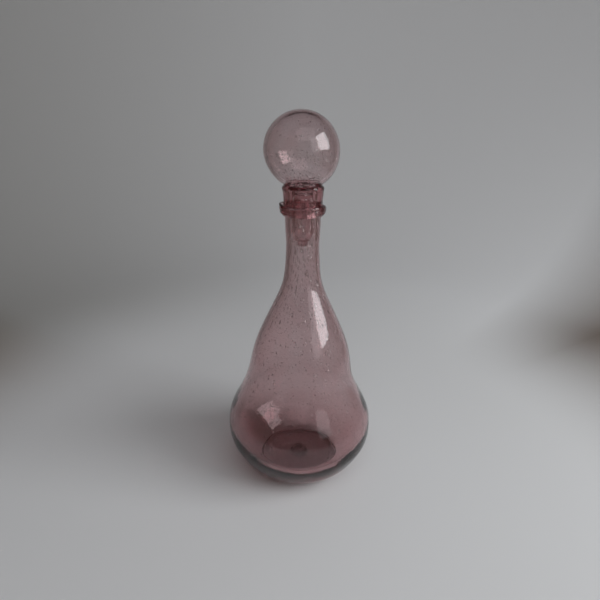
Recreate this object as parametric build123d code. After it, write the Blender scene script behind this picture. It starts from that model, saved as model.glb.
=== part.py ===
from build123d import *
import os

# Hand-blown bubble-glass decanter with a hollow ball stopper, in millimetres.
# +Z is up along the axis. The origin is the centre of the foot, on the surface it stands on.
# Every piece is a gather of glass: the blown vessel, what was added to it hot, and the stopper.

# Vessel, outside
BULB_RADIUS = 68.5
BULB_HEIGHT = 48.0  # height of the widest ring
BULB_DEPTH = 56.6  # vertical half-axis of the ellipse below the widest ring
LOWER_BULB_SHARES = (0.68, 0.83, 0.95)  # of that radius, where the curve is held to the ellipse
UPPER_RINGS = (  # radius and height, from over the widest ring to the foot of the neck
    (60.6, 74.0),
    (50.4, 96.0),  # waist
    (45.0, 121.0),  # shoulder
    (34.4, 150.0),
    (24.2, 171.5),
    (17.6, 188.0),
    (14.9, 207.0),
)
NECK_RADIUS = 14.3  # narrowest, outside
NECK_WAIST_HEIGHT = 224.0
NECK_TOP_RADIUS = 15.2  # straight end of the neck, which carries the collar and the lip
COLLAR_BOTTOM = 247.5
COLLAR_TOP = 259.5

# Vessel, inside. The heel, where the floor turns up into the wall, keeps the most glass.
WALL = 3.1
BULB_WALL = 3.7
BORE_RADIUS = 11.6
LOWER_INSIDE = (58.2, 28.5)
HEEL = (45.6, 14.0)
FLOOR_EDGE = (37.0, 6.6)
FLOOR_MIDWAY = (20.0, 6.0)
FLOOR_HEIGHT = 6.8  # inside floor at the axis, over the punt

# Foot
FOOT_RADIUS = 39.2
FOOT_FLAT_RADIUS = 33.0  # where the hollow underneath starts
FOOT_ROUNDING = 1.3
PUNT_HEIGHT = 3.4  # hollow under the floor
PONTIL_RADIUS = 9.0
PONTIL_CLEARANCE = 1.4  # its lowest point above the table
PONTIL_ROUNDING = 0.7

# Lip and collar
LIP_RADIUS = 17.5
LIP_FOOT_RADIUS = 17.0
LIP_CORNER = 273.9  # where the lip's side and its seat would meet with no rounding
LIP_ROUNDING = 1.3
SEAT_FOOT = 268.9  # foot of the sloping seat inside the lip, under the ball
COLLAR_RADIUS = 19.3
COLLAR_FOOT_RADIUS = 16.8
COLLAR_CHAMFER = 5.0  # height of the slope under the collar
COLLAR_ROUNDING = 1.4
LAP_RADIUS = 4.2  # bead where the end of the collar's trail laps over its start
LAP_CENTRE = (-16.2, -1.5, 258.2)

# Stopper
BALL_RADIUS = 30.8
BALL_HEIGHT = 299.2  # centre of the ball
BALL_WALL = 3.0
STEM_TOP_RADIUS = 9.4
STEM_RADIUS = 9.2
STEM_WALL = 2.2
STEM_TOP = 266.0
THROAT_ROUNDING = 2.0  # where the ball turns into the stem
STEM_TAPER_HEIGHT = 234.0
STEM_BOTTOM = 226.5
STEM_END_RADIUS = 6.2
STEM_BEND = 9.0  # rounding where the straight shank turns into its taper
STEM_END_ROUNDING = 1.1
NUB_RADIUS = 4.3
NUB_BOTTOM = 221.5
NUB_ROUNDING = 2.0


def turned(outline):
    """The solid made by turning a closed outline, drawn as radius and height, about the Z axis."""
    return revolve(Plane.XZ * make_face(outline), Axis.Z)


def ellipse_height(radius):
    """Height of the vessel's lower outside at a radius: an ellipse about the widest ring's centre."""
    return BULB_HEIGHT - BULB_DEPTH * (1 - (radius / BULB_RADIUS) ** 2) ** 0.5


def ellipse_slope(radius):
    """Rise of that ellipse per unit of radius."""
    return (BULB_DEPTH / BULB_RADIUS) ** 2 * radius / (BULB_HEIGHT - ellipse_height(radius))


def lower_outside():
    """Foot to widest ring: an elliptical lower bulb."""
    radii = [FOOT_RADIUS] + [BULB_RADIUS * share for share in LOWER_BULB_SHARES]
    return Spline(
        [(radius, ellipse_height(radius)) for radius in radii] + [(BULB_RADIUS, BULB_HEIGHT)],
        tangents=[(1, ellipse_slope(FOOT_RADIUS)), (0, 1)],
    )


def upper_outside():
    """Widest ring to collar: one curve over the waist and shoulder."""
    return Spline(
        (BULB_RADIUS, BULB_HEIGHT),
        *UPPER_RINGS,
        (NECK_RADIUS, NECK_WAIST_HEIGHT),
        (NECK_TOP_RADIUS, COLLAR_BOTTOM),
        tangents=[(0, 1), (0, 1)],
    )


def inset(curve, ring):
    """The point one wall's thickness inside a curve, square to it at one of its points."""
    share = curve.param_at_point(ring)
    point = curve @ share
    tangent = curve % share
    return (point.X - WALL * tangent.Y, point.Y + WALL * tangent.X)


def vessel_inside():
    """Bore to floor: the outside less the wall, thicker in the bulb and the heel."""
    outside = upper_outside()
    return Spline(
        (BORE_RADIUS, COLLAR_BOTTOM),
        (NECK_RADIUS - WALL, NECK_WAIST_HEIGHT),
        *[inset(outside, ring) for ring in reversed(UPPER_RINGS)],
        (BULB_RADIUS - BULB_WALL, BULB_HEIGHT),
        LOWER_INSIDE,
        HEEL,
        FLOOR_EDGE,
        FLOOR_MIDWAY,
        (0, FLOOR_HEIGHT),
        tangents=[(0, -1), (-1, 0)],
    )


def make_bottle_body():
    outline = (
        lower_outside()
        + upper_outside()
        + Line((NECK_TOP_RADIUS, COLLAR_BOTTOM), (NECK_TOP_RADIUS, COLLAR_TOP))
        + Line((NECK_TOP_RADIUS, COLLAR_TOP), (BORE_RADIUS, COLLAR_TOP))
        + Line((BORE_RADIUS, COLLAR_TOP), (BORE_RADIUS, COLLAR_BOTTOM))
        + vessel_inside()
        + Line((0, FLOOR_HEIGHT), (0, PUNT_HEIGHT))
        + Spline((0, PUNT_HEIGHT), (FOOT_FLAT_RADIUS, 0), tangents=[(1, 0), (1, 0)])
        + Line((FOOT_FLAT_RADIUS, 0), (FOOT_RADIUS, 0))
        + Line((FOOT_RADIUS, 0), (FOOT_RADIUS, ellipse_height(FOOT_RADIUS)))
    )
    body = turned(outline)
    foot_edges = body.edges().filter_by(GeomType.CIRCLE).group_by(Axis.Z)[0]
    return fillet(foot_edges.sort_by(SortBy.RADIUS)[-1], FOOT_ROUNDING)


def make_lip_wrap():
    """Thick ring on the end of the neck. The ball sits on the slope inside its round crest."""
    section = make_face(
        Polyline(
            (BORE_RADIUS, COLLAR_TOP),
            (LIP_FOOT_RADIUS, COLLAR_TOP),
            (LIP_RADIUS, LIP_CORNER),
            (BORE_RADIUS, SEAT_FOOT),
            close=True,
        )
    )
    crest = section.vertices().sort_by(Axis.Y)[-1]
    return revolve(Plane.XZ * fillet(crest, LIP_ROUNDING), Axis.Z)


def make_neck_collar(body, lip):
    """Trail of glass wound once round the neck, with a bead where its two ends lap."""
    section = Polyline(
        (NECK_TOP_RADIUS, COLLAR_BOTTOM),
        (COLLAR_FOOT_RADIUS, COLLAR_BOTTOM),
        (COLLAR_RADIUS, COLLAR_BOTTOM + COLLAR_CHAMFER),
        (COLLAR_RADIUS, COLLAR_TOP),
        (NECK_TOP_RADIUS, COLLAR_TOP),
        close=True,
    )
    ring = turned(section)
    circles = ring.edges().filter_by(GeomType.CIRCLE).sort_by(SortBy.RADIUS)
    outer_edges = circles[2:]  # the first two lie on the neck
    ring = fillet(outer_edges, COLLAR_ROUNDING)
    return ring + (Pos(LAP_CENTRE) * Sphere(LAP_RADIUS) - body - lip)


def make_pontil_scar(body):
    """Rough disc of glass left in the punt where the pontil rod was cracked off."""
    disc = Pos(0, 0, PONTIL_CLEARANCE) * Cylinder(
        PONTIL_RADIUS,
        PUNT_HEIGHT - PONTIL_CLEARANCE,
        align=(Align.CENTER, Align.CENTER, Align.MIN),
    )
    disc = fillet(disc.edges().group_by(Axis.Z)[0], PONTIL_ROUNDING)
    return disc - body


def ball_and_throat(ball_radius, throat_radius):
    """Outline from the top of the ball, round its side and through a small curve into the stem."""
    reach = ball_radius + THROAT_ROUNDING
    corner_radius = throat_radius + THROAT_ROUNDING
    corner_drop = (reach**2 - corner_radius**2) ** 0.5
    share = ball_radius / reach
    meeting = (corner_radius * share, BALL_HEIGHT - corner_drop * share)
    throat_top = (throat_radius, BALL_HEIGHT - corner_drop)
    ball = ThreePointArc((0, BALL_HEIGHT + ball_radius), (ball_radius, BALL_HEIGHT), meeting)
    throat = TangentArc(meeting, throat_top, tangent=ball % 1)
    return ball + throat + Line(throat_top, (throat_radius, STEM_TOP))


def make_stopper_ball():
    """Hollow ball whose cavity opens into the stem below it."""
    inner_ball = BALL_RADIUS - BALL_WALL
    inner_throat = STEM_TOP_RADIUS - STEM_WALL
    return turned(
        ball_and_throat(BALL_RADIUS, STEM_TOP_RADIUS)
        + Line((STEM_TOP_RADIUS, STEM_TOP), (inner_throat, STEM_TOP))
        + ball_and_throat(inner_ball, inner_throat)
        + Line((0, BALL_HEIGHT + inner_ball), (0, BALL_HEIGHT + BALL_RADIUS))
    )


def make_stopper_stem():
    """Hollow shank, closed and tapered at its lower end."""
    floor = STEM_BOTTOM + STEM_WALL
    section = make_face(
        Polyline(
            (0, STEM_BOTTOM),
            (STEM_END_RADIUS, STEM_BOTTOM),
            (STEM_RADIUS, STEM_TAPER_HEIGHT),
            (STEM_TOP_RADIUS, STEM_TOP),
            (STEM_TOP_RADIUS - STEM_WALL, STEM_TOP),
            (STEM_RADIUS - STEM_WALL, STEM_TAPER_HEIGHT),
            (STEM_END_RADIUS - STEM_WALL, floor),
            (0, floor),
            close=True,
        )
    )
    bends = [corner for corner in section.vertices() if corner.Y == STEM_TAPER_HEIGHT]
    section = fillet(bends, STEM_BEND)
    end = section.vertices().group_by(Axis.Y)[0].sort_by(Axis.X)[-1]
    return revolve(Plane.XZ * fillet(end, STEM_END_ROUNDING), Axis.Z)


def make_stopper_tip():
    """Solid nub under the stem, where the stopper was cracked off its rod."""
    nub = Pos(0, 0, NUB_BOTTOM) * Cylinder(
        NUB_RADIUS, STEM_BOTTOM - NUB_BOTTOM, align=(Align.CENTER, Align.CENTER, Align.MIN)
    )
    return fillet(nub.edges().group_by(Axis.Z)[0], NUB_ROUNDING)


def make_all():
    body = make_bottle_body()
    lip = make_lip_wrap()
    return {
        "bottle_body": body,
        "lip_wrap": lip,
        "neck_collar": make_neck_collar(body, lip),
        "pontil_scar": make_pontil_scar(body),
        "stopper_ball": make_stopper_ball(),
        "stopper_stem": make_stopper_stem(),
        "stopper_tip": make_stopper_tip(),
    }


os.makedirs("parts", exist_ok=True)
for node, solid in make_all().items():
    export_step(solid, f"parts/{node}.step")
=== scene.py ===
import math
import random

import bmesh
import bpy
import numpy as np
from mathutils import Matrix, Vector, noise


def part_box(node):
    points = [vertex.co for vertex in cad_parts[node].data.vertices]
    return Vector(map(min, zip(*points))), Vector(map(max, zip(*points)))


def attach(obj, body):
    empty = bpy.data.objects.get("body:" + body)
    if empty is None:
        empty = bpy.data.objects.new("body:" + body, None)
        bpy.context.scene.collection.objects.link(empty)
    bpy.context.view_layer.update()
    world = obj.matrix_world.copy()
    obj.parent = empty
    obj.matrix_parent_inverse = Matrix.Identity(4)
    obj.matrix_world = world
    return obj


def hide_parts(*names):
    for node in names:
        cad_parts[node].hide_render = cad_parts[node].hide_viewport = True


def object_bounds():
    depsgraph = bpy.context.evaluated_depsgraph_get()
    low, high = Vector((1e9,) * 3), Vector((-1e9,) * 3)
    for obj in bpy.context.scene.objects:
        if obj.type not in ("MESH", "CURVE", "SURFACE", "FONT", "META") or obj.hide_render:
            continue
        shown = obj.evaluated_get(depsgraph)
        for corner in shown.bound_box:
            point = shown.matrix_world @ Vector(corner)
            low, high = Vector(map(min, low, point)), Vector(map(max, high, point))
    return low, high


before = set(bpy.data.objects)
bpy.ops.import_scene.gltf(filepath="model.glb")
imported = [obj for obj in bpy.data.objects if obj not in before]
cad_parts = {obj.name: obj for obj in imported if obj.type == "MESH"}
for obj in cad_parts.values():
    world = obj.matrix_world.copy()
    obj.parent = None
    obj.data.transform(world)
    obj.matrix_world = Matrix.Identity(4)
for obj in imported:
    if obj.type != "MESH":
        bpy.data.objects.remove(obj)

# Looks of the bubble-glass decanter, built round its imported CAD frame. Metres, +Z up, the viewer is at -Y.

cad_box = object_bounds()
MM = 0.001
FOOT_Z = cad_box[0].z
TOP_Z = cad_box[1].z
HEIGHT = TOP_Z - FOOT_Z
SEED = 11


# ---------------------------------------------------------------- camera

LENS = 28.0
CAMERA_DISTANCE = 1.1825 * HEIGHT  # from the bottle's axis
CAMERA_HEIGHT = 0.9755 * HEIGHT
CAMERA_PITCH = 21.1  # degrees below the horizon
CAMERA_ROLL = 0.95
CAMERA_PAN = 0.17


def make_camera():
    data = bpy.data.cameras.new("camera")
    data.lens = LENS
    data.clip_start = 0.01
    camera = bpy.data.objects.new("camera", data)
    camera.location = (0, -CAMERA_DISTANCE, FOOT_Z + CAMERA_HEIGHT)
    turn = Matrix.Rotation(math.radians(CAMERA_PAN), 4, "Z")
    tilt = Matrix.Rotation(math.radians(90 - CAMERA_PITCH), 4, "X")
    roll = Matrix.Rotation(math.radians(CAMERA_ROLL), 4, "Z")
    camera.rotation_euler = (turn @ tilt @ roll).to_euler()
    bpy.context.scene.collection.objects.link(camera)
    bpy.context.scene.camera = camera


# ---------------------------------------------------------------- stage and light

FLOOR_RADIUS = 1.5
COVE_RADIUS = 0.85  # where the floor curves up into the wall
WALL_HEIGHT = 1.6
STAGE_SEGMENTS = 96
COVE_STEPS = 12


def node_material(name):
    """A new material and its node tree, empty but for the output."""
    material = bpy.data.materials.new(name)
    material.use_nodes = True
    tree = material.node_tree
    tree.nodes.clear()
    output = tree.nodes.new("ShaderNodeOutputMaterial")
    return material, tree, output


# Colours of the stage: the paper, its painted shade (darker on the left, away from the window), and the dim
# room round it, painted as shade, warm brown on the left.
PAPER = (0.78, 0.785, 0.79, 1)
SHADED_PAPER = (0.46, 0.455, 0.44, 1)
DIM_ROOM = (0.17, 0.14, 0.12, 1)
DIM_WARM_ROOM = (0.23, 0.17, 0.125, 1)
PAPER_REACH = 0.28  # radius of plain paper round the bottle
ROOM_START = 0.6  # radius from which the bearing alone sets the colour
PAPER_TOP = 1.2
ROOM_TOP = 1.5  # height from which the wall is all dim
MOTTLE_SCALE = 3.0
MOTTLE_SHARE = 0.25  # how much of the mottle shows in the floor


def ramp_node(tree, stops):
    """A colour ramp through (position, colour) stops."""
    ramp = tree.nodes.new("ShaderNodeValToRGB")
    elements = ramp.color_ramp.elements
    for position, colour in stops[1:-1]:
        elements.new(position).color = colour
    elements[0].position, elements[0].color = stops[0]
    elements[-1].position, elements[-1].color = stops[-1]
    return ramp


def mix_node(tree, factor, first, second):
    """A colour mix of two sockets."""
    mix = tree.nodes.new("ShaderNodeMix")
    mix.data_type = "RGBA"
    tree.links.new(factor, mix.inputs["Factor"])
    tree.links.new(first, mix.inputs["A"])
    tree.links.new(second, mix.inputs["B"])
    return mix.outputs["Result"]


def range_node(tree, value, low, high):
    """A share that grows from 0 to 1 as a socket's value goes from low to high."""
    share = tree.nodes.new("ShaderNodeMapRange")
    share.interpolation_type = "SMOOTHSTEP"
    share.inputs["From Min"].default_value = low
    share.inputs["From Max"].default_value = high
    tree.links.new(value, share.inputs["Value"])
    return share.outputs["Result"]


def colour_by_bearing(tree, place):
    """The far colour at each bearing round the axis, where the back of the stage is at 0.5."""
    turn = tree.nodes.new("ShaderNodeVectorRotate")
    turn.rotation_type = "Z_AXIS"
    turn.inputs["Angle"].default_value = math.radians(-90)
    bearing = tree.nodes.new("ShaderNodeTexGradient")
    bearing.gradient_type = "RADIAL"
    tree.links.new(place, turn.inputs["Vector"])
    tree.links.new(turn.outputs["Vector"], bearing.inputs["Vector"])
    # Painted shade: from the back towards the left the paper darkens, away from the window, into the dark
    # colours of the dim room; the rest of the wall is dim room too.
    stops = [
        (0.0, DIM_ROOM),
        (0.34, DIM_ROOM),
        (0.385, PAPER),
        (0.5, PAPER),
        (0.65, SHADED_PAPER),
        (0.69, DIM_WARM_ROOM),
        (0.86, DIM_WARM_ROOM),
        (1.0, DIM_ROOM),
    ]
    wall = ramp_node(tree, stops)
    tree.links.new(bearing.outputs["Fac"], wall.inputs["Fac"])
    return wall.outputs["Color"]


def colour_of_floor(tree):
    """Plain paper with a faint mottle."""
    mottle = tree.nodes.new("ShaderNodeTexNoise")
    mottle.inputs["Scale"].default_value = MOTTLE_SCALE
    plain = ramp_node(tree, [(0.3, PAPER), (0.7, SHADED_PAPER)])
    tree.links.new(mottle.outputs["Fac"], plain.inputs["Fac"])
    floor = tree.nodes.new("ShaderNodeMix")
    floor.data_type = "RGBA"
    floor.inputs["Factor"].default_value = MOTTLE_SHARE
    floor.inputs["A"].default_value = PAPER
    tree.links.new(plain.outputs["Color"], floor.inputs["B"])
    return floor.outputs["Result"]


def paper_material():
    """Pale paper under and behind the bottle that gives way to a dim room, painted as shade, elsewhere."""
    material, tree, output = node_material("stage_paper")
    shader = tree.nodes.new("ShaderNodeBsdfPrincipled")
    shader.inputs["Roughness"].default_value = 0.85
    shader.inputs["Specular IOR Level"].default_value = 0.2
    place = tree.nodes.new("ShaderNodeTexCoord").outputs["Object"]
    wall = colour_by_bearing(tree, place)
    floor = colour_of_floor(tree)

    distance = tree.nodes.new("ShaderNodeVectorMath")
    distance.operation = "LENGTH"
    tree.links.new(place, distance.inputs[0])
    split = tree.nodes.new("ShaderNodeSeparateXYZ")
    tree.links.new(place, split.inputs[0])
    dim = tree.nodes.new("ShaderNodeRGB")
    dim.outputs[0].default_value = DIM_ROOM
    # Painted shade: away from the bottle the floor takes the wall's colour at its bearing, and above
    # PAPER_TOP the wall turns to the dim room's dark colour.
    far = range_node(tree, distance.outputs["Value"], PAPER_REACH, ROOM_START)
    high = range_node(tree, split.outputs["Z"], PAPER_TOP, ROOM_TOP)
    colour = mix_node(tree, far, floor, wall)
    colour = mix_node(tree, high, colour, dim.outputs[0])
    tree.links.new(colour, shader.inputs["Base Color"])
    tree.links.new(shader.outputs["BSDF"], output.inputs["Surface"])
    return material


def make_stage():
    """A round floor that curves up into a wall, so that every view has the same plain ground."""
    rows = [(0.0, 0.0), (FLOOR_RADIUS - COVE_RADIUS, 0.0)]
    for step in range(1, COVE_STEPS + 1):
        angle = math.radians(90 * step / COVE_STEPS)
        radius = FLOOR_RADIUS - COVE_RADIUS + COVE_RADIUS * math.sin(angle)
        rows.append((radius, COVE_RADIUS * (1 - math.cos(angle))))
    rows.append((FLOOR_RADIUS, WALL_HEIGHT))
    heights = [(radius, FOOT_Z + height) for radius, height in rows]
    vertices, faces = lathe(heights, STAGE_SEGMENTS)
    floor = mesh_object("stage_floor", vertices, faces)
    floor.data.materials.append(paper_material())


def area_light(name, place, target, size, radiance, colour, seen=True):
    """A flat rectangular light of a given radiance, facing a point. Unless seen, no glass mirrors it."""
    width, height = size
    data = bpy.data.lights.new(name, "AREA")
    data.shape = "RECTANGLE"
    data.size = width
    data.size_y = height
    data.energy = radiance * math.pi * width * height
    data.color = colour
    light = bpy.data.objects.new(name, data)
    light.location = place
    light.rotation_euler = (Vector(target) - Vector(place)).to_track_quat("-Z", "Y").to_euler()
    light.visible_camera = False
    light.visible_glossy = seen
    bpy.context.scene.collection.objects.link(light)


UPPER_BOTTLE = (0, 0, 0.9 * HEIGHT)
BEHIND_BOTTLE = (0, 0.1, 0.1)


def make_lights():
    """A window on the right, the paler curtain beside it, and the soft light of the ceiling."""
    area_light(
        "window",
        place=(1.13, -0.36, 0.79),
        target=UPPER_BOTTLE,
        size=(0.88, 0.85),
        radiance=5.2,
        colour=(0.96, 0.98, 1.0),
    )
    area_light(
        "curtain",
        place=(0.78, -0.87, 0.68),
        target=UPPER_BOTTLE,
        size=(0.46, 0.85),
        radiance=0.9,
        colour=(0.98, 0.98, 1.0),
    )
    area_light(
        "ceiling",
        place=(0.25, -0.85, 1.4),
        target=BEHIND_BOTTLE,
        size=(1.4, 1.1),
        radiance=1.25,
        colour=(0.97, 0.98, 1.0),
        seen=False,
    )
    world = bpy.data.worlds.new("room")
    world.use_nodes = True
    background = world.node_tree.nodes["Background"]
    background.inputs["Color"].default_value = (0.9, 0.92, 1.0, 1)
    background.inputs["Strength"].default_value = 0.06
    bpy.context.scene.world = world


GLASS_BOUNCES = 40


def set_up_view():
    """Plain tones, and enough bounces for light to pass every wall of glass and bubble on its way."""
    scene = bpy.context.scene
    scene.view_settings.view_transform = "Standard"
    scene.cycles.max_bounces = GLASS_BOUNCES
    scene.cycles.transmission_bounces = GLASS_BOUNCES
    scene.cycles.glossy_bounces = 12


# ---------------------------------------------------------------- outlines and meshes

OUTLINE_STEP = 2.2 * MM
CORNER = math.radians(32)  # a sharper turn than this stays a corner
TOUCH = 0.01 * MM  # nearer than this is the same place
SEAM = 0.001 * MM  # how near its half-plane a vertex of the seam lies


def seam_outline(node):
    """The outline that the CAD node's solid was turned from, as (radius, height) points in order.

    They are the vertices in the half-plane y = 0, x > 0. An open outline runs from axis to axis. A ring's is
    closed, and its first point isn't repeated."""
    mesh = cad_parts[node].data
    spots = {}
    for vertex in mesh.vertices:
        if abs(vertex.co.y) < SEAM and vertex.co.x > -SEAM:
            spots[vertex.index] = (round(vertex.co.x, 6), round(vertex.co.z, 6))
    links = {}
    for edge in mesh.edges:
        a, b = (spots.get(index) for index in edge.vertices)
        if a and b and a != b:
            links.setdefault(a, set()).add(b)
            links.setdefault(b, set()).add(a)
    ends = sorted(spot for spot, near in links.items() if len(near) == 1)
    walk = [ends[0] if ends else min(links)]
    while True:
        onward = sorted(links[walk[-1]] - set(walk[-2:]) - {walk[0]})
        if not onward or onward[0] in walk:
            break
        walk.append(onward[0])
    return walk


def smoothed(outline, step=OUTLINE_STEP):
    """A Catmull-Rom curve through the outline's points, at an even step, with its sharp corners kept."""
    points = np.array(outline)
    legs = np.diff(points, axis=0)
    turns = np.abs(np.diff(np.unwrap(np.arctan2(legs[:, 1], legs[:, 0]))))
    corners = [0] + [i + 1 for i, turn in enumerate(turns) if turn > CORNER] + [len(points) - 1]
    rows = [points[0]]
    for first, last in zip(corners[:-1], corners[1:]):
        for i in range(first, last):
            before = points[max(i - 1, first)]
            after = points[min(i + 2, last)]
            a, b = points[i], points[i + 1]
            count = max(1, round(np.linalg.norm(b - a) / step))
            for t in np.arange(1, count + 1) / count:
                linear = (b - before) * t
                square = (2 * before - 5 * a + 4 * b - after) * t**2
                cube = (3 * a - before - 3 * b + after) * t**3
                rows.append(0.5 * (2 * a + linear + square + cube))
    return [tuple(row) for row in rows]


def lathe(outline, segments, closed=False):
    """Vertices and faces of an outline turned about Z. Points on the axis become single vertices."""
    vertices, rings, faces = [], [], []
    for radius, height in outline:
        count = 1 if radius < TOUCH else segments
        ring = []
        for k in range(count):
            angle = 2 * math.pi * k / segments
            ring.append(len(vertices))
            reach = radius if count > 1 else 0.0
            vertices.append((reach * math.cos(angle), reach * math.sin(angle), height))
        rings.append(ring)
    pairs = list(zip(rings[:-1], rings[1:]))
    if closed:
        pairs.append((rings[-1], rings[0]))
    for low, high in pairs:
        for k in range(segments):
            following = (k + 1) % segments
            if len(low) == 1 and len(high) == 1:
                break
            if len(low) == 1:
                faces.append((low[0], high[following], high[k]))
            elif len(high) == 1:
                faces.append((low[k], low[following], high[0]))
            else:
                faces.append((low[k], low[following], high[following], high[k]))
    return vertices, faces


def mesh_object(name, vertices, faces):
    """A smooth-shaded mesh object in the scene."""
    mesh = bpy.data.meshes.new(name)
    mesh.from_pydata([tuple(v) for v in vertices], [], [tuple(f) for f in faces])
    mesh.validate()
    mesh.polygons.foreach_set("use_smooth", [True] * len(mesh.polygons))
    mesh.update()
    made = bpy.data.objects.new(name, mesh)
    bpy.context.scene.collection.objects.link(made)
    return made


def face_outward(vertices, faces):
    """The faces, wound so that a closed surface's normals point out of it."""
    mesh = bmesh.new()
    corners = [mesh.verts.new(v) for v in vertices]
    for face in faces:
        mesh.faces.new([corners[i] for i in face])
    bmesh.ops.recalc_face_normals(mesh, faces=mesh.faces)
    mesh.verts.index_update()
    wound = [tuple(v.index for v in face.verts) for face in mesh.faces]
    mesh.free()
    return wound


# ---------------------------------------------------------------- hand-made unevenness

# How far blown glass leans off the axis at each height: (height, sideways), in millimetres.
VESSEL_DRIFT = [
    (0, 0.45),
    (48, 0.0),
    (80, -0.55),
    (98, -0.5),
    (121, 0.3),
    (150, 0.6),
    (190, 0.6),
    (224, 0.35),
    (250, 0.0),
    (275, -0.35),
]
BALL_DRIFT = [
    (220, 0.35),
    (250, 0.0),
    (266, -0.3),
    (282, -1.0),
    (299, -1.8),
    (330, -2.1),
]
DRIFT_STEP = 4 * MM
THINNEST = 5 * MM  # nearer the axis than this, the push no longer grows as a share of the radius


def uneven(vertices, size, scale, seed, stretch=1.0):
    """The vertices, each pushed outward or inward by up to about size, in waves about scale long.

    stretch draws the waves out along Z, as a blown neck's are."""
    moved = []
    for x, y, z in vertices:
        radius = math.hypot(x, y)
        spot = Vector((x / scale + seed, y / scale, z / scale / stretch))
        push = size * noise.noise(spot)
        share = 1 + push / max(radius, THINNEST)
        moved.append((x * share, y * share, z))
    return moved


def drifted(vertices, drift):
    """The vertices, each moved sideways by the drift at its height."""
    table = np.array(smoothed([(height * MM, sideways * MM) for height, sideways in drift], DRIFT_STEP))
    heights = FOOT_Z + table[:, 0]
    return [(x + float(np.interp(z, heights, table[:, 1])), y, z) for x, y, z in vertices]


# ---------------------------------------------------------------- seed bubbles

def ball_mesh(subdivisions):
    """A unit ball as vertices and faces. The faces are wound inward, from the glass towards the air."""
    mesh = bmesh.new()
    bmesh.ops.create_icosphere(mesh, subdivisions=subdivisions, radius=1.0)
    mesh.verts.index_update()
    vertices = np.array([v.co[:] for v in mesh.verts])
    faces = [tuple(reversed([v.index for v in face.verts])) for face in mesh.faces]
    mesh.free()
    return vertices, faces


COARSE_BALL = ball_mesh(1)
FINE_BALL = ball_mesh(2)
ROUND_BALL = ball_mesh(4)
FINE_SIZE = 0.5 * MM  # a seed larger than this gets the finer ball


def wall_middle(outline, rim):
    """Points halfway through a hollow piece's wall: (radius, height, thickness, slope radius, slope height).

    rim is np.argmax or np.argmin: the outline turns from outside to inside at its highest or lowest point."""
    points = np.array(outline)
    turn = int(rim(points[:, 1]))
    sides = [points[: turn + 1], points[turn:]]
    outer, inner = sorted(sides, key=lambda side: -side[:, 0].max())
    rows = []
    for i in range(1, len(outer) - 1):
        gaps = np.linalg.norm(inner - outer[i], axis=1)
        nearest = int(gaps.argmin())
        middle = (outer[i] + inner[nearest]) / 2
        slope = outer[i + 1] - outer[i - 1]
        slope = slope / np.linalg.norm(slope)
        rows.append((*middle, gaps[nearest], *slope))
    return np.array(rows)


def bubble(centre, axes, detail):
    """An air bubble's vertices and faces: a ball drawn out along three axes."""
    unit, faces = detail
    return (unit @ np.array(axes) + np.array(centre)).tolist(), faces


def join(vertices, faces, more_vertices, more_faces):
    """Adds one mesh's vertices and faces to another's lists."""
    first = len(vertices)
    vertices.extend(more_vertices)
    faces.extend(tuple(first + i for i in face) for face in more_faces)


def add_seeds(vertices, faces, wall, draws, count, density, sizes, stretch):
    """Adds small air bubbles inside a wall, likelier where density(height) is high.

    Each is drawn out along the wall's slope by stretch(height), as the glass was when it was blown."""
    weights = [row[0] * density(row[1]) for row in wall]
    for rank in draws.choices(range(len(wall)), weights=weights, k=count):
        radius, height, thickness, slope_r, slope_z = wall[rank]
        size = sizes[0] + (sizes[1] - sizes[0]) * draws.random() ** 3
        size = min(size, 0.3 * thickness)
        depth = draws.uniform(-0.5, 0.5) * max(thickness - 3 * size, 0)
        angle = draws.uniform(0, 2 * math.pi)
        outward = Vector((math.cos(angle), math.sin(angle), 0))
        along = outward * slope_r + Vector((0, 0, slope_z))
        around = Vector((-math.sin(angle), math.cos(angle), 0))
        through = along.cross(around)
        centre = outward * radius + Vector((0, 0, height)) + through * depth
        long = size * stretch(height) * draws.uniform(0.7, 1.5)
        axes = [through * size * 0.8, around * size, along * long]
        detail = FINE_BALL if size > FINE_SIZE else COARSE_BALL
        join(vertices, faces, *bubble(centre, axes, detail))


# ---------------------------------------------------------------- materials

GLASS_IOR = 1.5
DRAWN_OUT = (1, 1, 0.35)  # shrinks heights, so that the noise is drawn out along them
CORD_SCALE = 90.0
RIPPLE_SCALE = 160.0
RIPPLE_HEIGHT = 0.4 * MM
MOST_ABSORBED = 0.95  # share of the volume's density that the most absorbed colour takes


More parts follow.
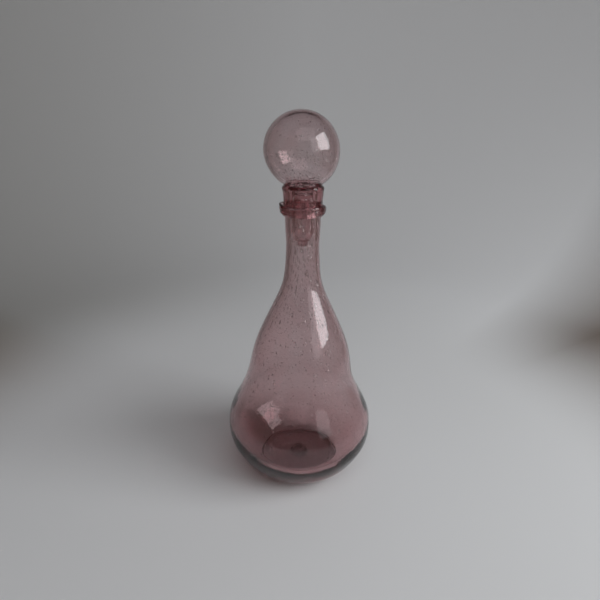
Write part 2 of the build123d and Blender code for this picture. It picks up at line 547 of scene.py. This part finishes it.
def glass_material(name, absorbed, streak, bump, roughness=0.0):
    """Glass that takes light by its depth, with fine cords and ripples drawn out along its height.

    absorbed is the loss per metre in red, green and blue. streak is how much redder the cords are."""
    material, tree, output = node_material(name)
    shader = tree.nodes.new("ShaderNodeBsdfPrincipled")
    shader.inputs["Transmission Weight"].default_value = 1.0
    shader.inputs["IOR"].default_value = GLASS_IOR
    shader.inputs["Roughness"].default_value = roughness
    place = tree.nodes.new("ShaderNodeTexCoord")
    draw_out = tree.nodes.new("ShaderNodeMapping")
    draw_out.inputs["Scale"].default_value = DRAWN_OUT
    tree.links.new(place.outputs["Object"], draw_out.inputs["Vector"])

    cords = tree.nodes.new("ShaderNodeTexNoise")
    cords.inputs["Scale"].default_value = CORD_SCALE
    cords.inputs["Detail"].default_value = 3.0
    tint = ramp_node(tree, [(0.35, (1, 1 - streak, 1 - streak, 1)), (0.6, (1, 1, 1, 1))])
    tree.links.new(draw_out.outputs["Vector"], cords.inputs["Vector"])
    tree.links.new(cords.outputs["Fac"], tint.inputs["Fac"])
    tree.links.new(tint.outputs["Color"], shader.inputs["Base Color"])

    ripple = tree.nodes.new("ShaderNodeTexNoise")
    ripple.inputs["Scale"].default_value = RIPPLE_SCALE
    ripple.inputs["Detail"].default_value = 2.0
    height = tree.nodes.new("ShaderNodeBump")
    height.inputs["Strength"].default_value = bump
    height.inputs["Distance"].default_value = RIPPLE_HEIGHT
    tree.links.new(draw_out.outputs["Vector"], ripple.inputs["Vector"])
    tree.links.new(ripple.outputs["Fac"], height.inputs["Height"])
    tree.links.new(height.outputs["Normal"], shader.inputs["Normal"])
    tree.links.new(shader.outputs["BSDF"], output.inputs["Surface"])

    density = max(absorbed) / MOST_ABSORBED
    volume = tree.nodes.new("ShaderNodeVolumeAbsorption")
    volume.inputs["Color"].default_value = (*[1 - loss / density for loss in absorbed], 1)
    volume.inputs["Density"].default_value = density
    tree.links.new(volume.outputs["Volume"], output.inputs["Volume"])
    return material


VESSEL_GLASS = glass_material("vessel_glass", (43, 88, 84), streak=0.03, bump=0.22)
TRAIL_GLASS = glass_material("trail_glass", (38, 88, 83), streak=0.04, bump=0.3)
STOPPER_GLASS = glass_material("stopper_glass", (44, 80, 77), streak=0.03, bump=0.18)
PONTIL_GLASS = glass_material("pontil_glass", (33, 78, 74), streak=0.05, bump=0.2, roughness=0.05)


# ---------------------------------------------------------------- pieces

FUSE = 0.5 * MM  # how far one piece of a fused pair runs into the other


def place_piece(piece, body, node, material):
    """Gives a piece its material, and puts it on its body in the place of its CAD node."""
    piece.data.materials.append(material)
    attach(piece, body)
    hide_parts(node)


def sunk(vertices, edge, reach):
    """The vertices, with those at the height edge moved along Z by reach, into the piece fused to them."""
    return [(x, y, z + reach if abs(z - edge) < TOUCH else z) for x, y, z in vertices]


def evenly(height):
    """The same density of seeds at every height."""
    return 1.0


def make_vessel():
    """The blown vessel, whose seeds are round in the bulb, and long and crowded in the neck."""
    outline = smoothed(seam_outline("bottle_body"))
    wall = wall_middle(outline, np.argmax)
    bulb_top = 0.25 * HEIGHT
    neck_top = 0.75 * HEIGHT
    floor_top = 0.09 * HEIGHT

    def drawn(height):
        share = min(max((height - bulb_top) / (neck_top - bulb_top), 0), 1)
        return 1.1 + 5.0 * share**1.5

    def dense(height):
        return 0.5 if height < floor_top else 1.0 + 2.0 * min(height / neck_top, 1) ** 2

    vertices, faces = lathe(outline, 128)
    faces = face_outward(vertices, faces)
    vertices = uneven(vertices, size=0.35 * MM, scale=45 * MM, seed=3.1, stretch=1.6)
    draws = random.Random(SEED)
    add_seeds(
        vertices,
        faces,
        wall,
        draws,
        count=4200,
        density=dense,
        sizes=(0.2 * MM, 0.68 * MM),
        stretch=drawn,
    )
    vessel = mesh_object("blown_vessel", drifted(vertices, VESSEL_DRIFT), faces)
    place_piece(vessel, "bottle", "bottle_body", VESSEL_GLASS)


UPRIGHT_LEVELS = 9


def upright_wall(radius, thickness, bottom, top):
    """Points halfway through an upright wall, as wall_middle gives them."""
    levels = np.linspace(bottom, top, UPRIGHT_LEVELS)
    return [(radius, height, thickness, 0.0, 1.0) for height in levels]


TRAIL_TOP = 3.4 * MM  # how far the trail's crest lies under the lip's foot


def lip_section(bottom, top, inner, outer, seat):
    """Section of the lip: a slightly drawn-in side, a round crest and the slope the ball sits on."""
    return [
        (inner, bottom),
        (outer - 0.6 * MM, bottom),
        (outer - 0.8 * MM, bottom + 5 * MM),
        (outer - 0.4 * MM, top - 5 * MM),
        (outer, top - 3 * MM),
        (outer - 0.3 * MM, top - 1.5 * MM),
        (outer - 1.1 * MM, top - 0.4 * MM),
        (outer - 2 * MM, top),
        (outer - 3 * MM, top - 0.9 * MM),
        (inner, seat),
    ]


def make_lip():
    """The thick ring of the mouth, with a rim that waves a little and seeds drawn down its side."""
    bottom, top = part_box("lip_wrap")
    points = seam_outline("lip_wrap")
    inner = min(radius for radius, height in points)
    seat = max(height for radius, height in points if radius < inner + TOUCH)
    section = lip_section(bottom.z - TRAIL_TOP - FUSE, top.z, inner, top.x, seat)
    section = smoothed([*section, section[0]], step=0.6 * MM)[:-1]
    vertices, faces = lathe(section, 128, closed=True)
    faces = face_outward(vertices, faces)
    vertices = uneven(vertices, size=0.5 * MM, scale=9 * MM, seed=1.7, stretch=2.0)
    wall = upright_wall(15.0 * MM, 3.6 * MM, bottom.z + 2 * MM, top.z - 2.5 * MM)
    draws = random.Random(SEED + 2)
    add_seeds(
        vertices,
        faces,
        wall,
        draws,
        count=110,
        density=evenly,
        sizes=(0.2 * MM, 0.6 * MM),
        stretch=lambda height: 3.0,
    )
    lip = mesh_object("rolled_lip", drifted(vertices, VESSEL_DRIFT), faces)
    place_piece(lip, "bottle", "lip_wrap", TRAIL_GLASS)


TRAIL_SEGMENTS = 160
TRAIL_WAVE = 0.75 * MM  # how far the trail strays up and down round the neck
LAP_ANGLE = math.radians(185)  # where its end laps over its start
LAP_SPREAD = math.radians(27)
LAP_BULGE = 0.4 * MM
LAP_RISE = 3.0 * MM
THREAD_DEPTH = 0.2 * MM  # of the fine rings along the trail
THREAD_PITCH = 2.3 * MM
TRAIL_DEPTH = 4.6 * MM  # from the trail's side to the bottom of the section, inside the neck's glass
SIDE_DEPTH = 3.0 * MM  # how deep from its side the trail is shaped


def trail_section(bottom, top, inner, outer):
    """Section of the collar's trail: a slope below, a side, a sharp crest and the groove behind it."""
    return [
        (inner, bottom),
        (inner + 2.2 * MM, bottom + 0.1 * MM),
        (outer - 1.6 * MM, bottom + 0.9 * MM),
        (outer - 0.5 * MM, bottom + 2.4 * MM),
        (outer, bottom + 4.4 * MM),
        (outer + 0.1 * MM, top - 2.2 * MM),
        (outer - 0.2 * MM, top - 0.7 * MM),
        (outer - 0.8 * MM, top),
        (outer - 1.4 * MM, top - 0.3 * MM),
        (outer - 2.1 * MM, top - 1.7 * MM),
        (inner, top - 1.9 * MM),
    ]


def trailed(vertex, bottom, crest, outer):
    """A vertex of the trail, moved by its threads, its slow wave up and down, and the lap of its ends."""
    x, y, z = vertex
    angle = math.atan2(y, x) % (2 * math.pi)
    radius = math.hypot(x, y)
    side = min(max((radius - outer + SIDE_DEPTH) / SIDE_DEPTH, 0), 1)
    height = (z - bottom) / (crest - bottom)
    lap = math.exp(-(((angle - LAP_ANGLE) / LAP_SPREAD) ** 2)) * side
    thread = THREAD_DEPTH * math.cos(2 * math.pi * (z - bottom) / THREAD_PITCH) * side
    wave = TRAIL_WAVE * math.sin(2 * (angle + math.pi / 2)) * height
    reach = radius + thread + lap * LAP_BULGE
    rise = wave + lap * LAP_RISE * max(height, 0)
    return reach * math.cos(angle), reach * math.sin(angle), z + rise


def make_collar():
    """The trail wound round the neck, its fine threads, and the lap of its two ends."""
    bottom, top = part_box("neck_collar")
    outer = top.x
    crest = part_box("lip_wrap")[0].z - TRAIL_TOP
    section = trail_section(bottom.z, crest, outer - TRAIL_DEPTH, outer)
    section = smoothed([*section, section[0]], step=0.45 * MM)[:-1]
    vertices, faces = lathe(section, TRAIL_SEGMENTS, closed=True)
    faces = face_outward(vertices, faces)
    vertices = [trailed(vertex, bottom.z, crest, outer) for vertex in vertices]
    vertices = uneven(vertices, size=0.3 * MM, scale=10 * MM, seed=9.2)
    collar = mesh_object("trailed_collar", drifted(vertices, VESSEL_DRIFT), faces)
    place_piece(collar, "bottle", "neck_collar", TRAIL_GLASS)


def make_pontil():
    """The rough disc in the punt, raised a little into the floor that it is fused to."""
    outline = smoothed(seam_outline("pontil_scar"), step=0.6 * MM)
    vertices, faces = lathe(outline, 64)
    faces = face_outward(vertices, faces)
    vertices = uneven(vertices, size=0.3 * MM, scale=5 * MM, seed=7.7)
    vertices = [(x, y, z + FUSE) for x, y, z in vertices]
    pontil = mesh_object("pontil_glass_scar", drifted(vertices, VESSEL_DRIFT), faces)
    place_piece(pontil, "bottle", "pontil_scar", PONTIL_GLASS)


# The large flat bubbles in the ball's foot, in degrees and millimetres: (angle, height over its foot,
# half width, half height).
FOOT_BUBBLES = [
    (-95, 8.2, 2.6, 2.2),
    (-78, 9.0, 3.4, 1.9),
    (-62, 8.4, 3.2, 1.7),
    (-118, 8.6, 3.0, 1.6),
    (60, 9.0, 3.5, 2.0),
    (150, 8.4, 3.0, 1.8),
]
FLATNESS = 0.28  # half depth of a flat bubble, as a share of the wall


def add_foot_bubbles(vertices, faces, wall, foot):
    """Adds the large flat bubbles, each lying in the wall at its height over the ball's foot."""
    for angle, height, half_width, half_height in FOOT_BUBBLES:
        spot = min(wall, key=lambda row: abs(row[1] - foot - height * MM))
        radius, level, thickness, slope_r, slope_z = spot
        turn = math.radians(angle)
        outward = Vector((math.cos(turn), math.sin(turn), 0))
        along = outward * slope_r + Vector((0, 0, slope_z))
        around = Vector((-math.sin(turn), math.cos(turn), 0))
        centre = outward * radius + Vector((0, 0, level))
        through = along.cross(around)
        axes = [through * FLATNESS * thickness, around * half_width * MM, along * half_height * MM]
        join(vertices, faces, *bubble(centre, axes, ROUND_BALL))


def make_stopper_ball():
    """The blown ball, with most of its seeds in the lower half and large flat bubbles in its foot."""
    outline = smoothed(seam_outline("stopper_ball"))
    wall = wall_middle(outline, np.argmin)
    foot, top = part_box("stopper_ball")
    middle = (foot.z + top.z) / 2

    def lower_half(height):
        return 2.5 if height < middle else 0.5

    vertices, faces = lathe(outline, 144)
    faces = face_outward(vertices, faces)
    vertices = sunk(vertices, foot.z, -FUSE)
    vertices = uneven(vertices, size=0.25 * MM, scale=30 * MM, seed=5.3)
    draws = random.Random(SEED + 1)
    add_seeds(
        vertices,
        faces,
        wall,
        draws,
        count=1500,
        density=lower_half,
        sizes=(0.18 * MM, 0.62 * MM),
        stretch=lambda height: 1.2,
    )
    add_foot_bubbles(vertices, faces, wall, foot.z)
    ball = mesh_object("blown_ball", drifted(vertices, BALL_DRIFT), faces)
    place_piece(ball, "stopper", "stopper_ball", STOPPER_GLASS)


def make_stopper_stem():
    """The hollow shank, with a few seeds drawn far down its wall."""
    outline = smoothed(seam_outline("stopper_stem"), step=0.8 * MM)
    vertices, faces = lathe(outline, 96)
    faces = face_outward(vertices, faces)
    vertices = uneven(vertices, size=0.3 * MM, scale=14 * MM, seed=2.9, stretch=2.0)
    foot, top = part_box("stopper_stem")
    wall = upright_wall(8.2 * MM, 2.0 * MM, foot.z + 9 * MM, top.z - 3 * MM)
    draws = random.Random(SEED + 3)
    add_seeds(
        vertices,
        faces,
        wall,
        draws,
        count=60,
        density=evenly,
        sizes=(0.15 * MM, 0.4 * MM),
        stretch=lambda height: 4.0,
    )
    stem = mesh_object("drawn_stem", drifted(vertices, BALL_DRIFT), faces)
    place_piece(stem, "stopper", "stopper_stem", STOPPER_GLASS)


def make_stopper_tip():
    """The solid nub that seals the shank, raised into it where they are fused."""
    outline = smoothed(seam_outline("stopper_tip"), step=0.4 * MM)
    vertices, faces = lathe(outline, 64)
    faces = face_outward(vertices, faces)
    vertices = sunk(vertices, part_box("stopper_tip")[1].z, FUSE)
    tip = mesh_object("sealed_tip", drifted(vertices, BALL_DRIFT), faces)
    place_piece(tip, "stopper", "stopper_tip", STOPPER_GLASS)


make_camera()
make_stage()
make_lights()
set_up_view()
make_vessel()
make_lip()
make_collar()
make_pontil()
make_stopper_ball()
make_stopper_stem()
make_stopper_tip()
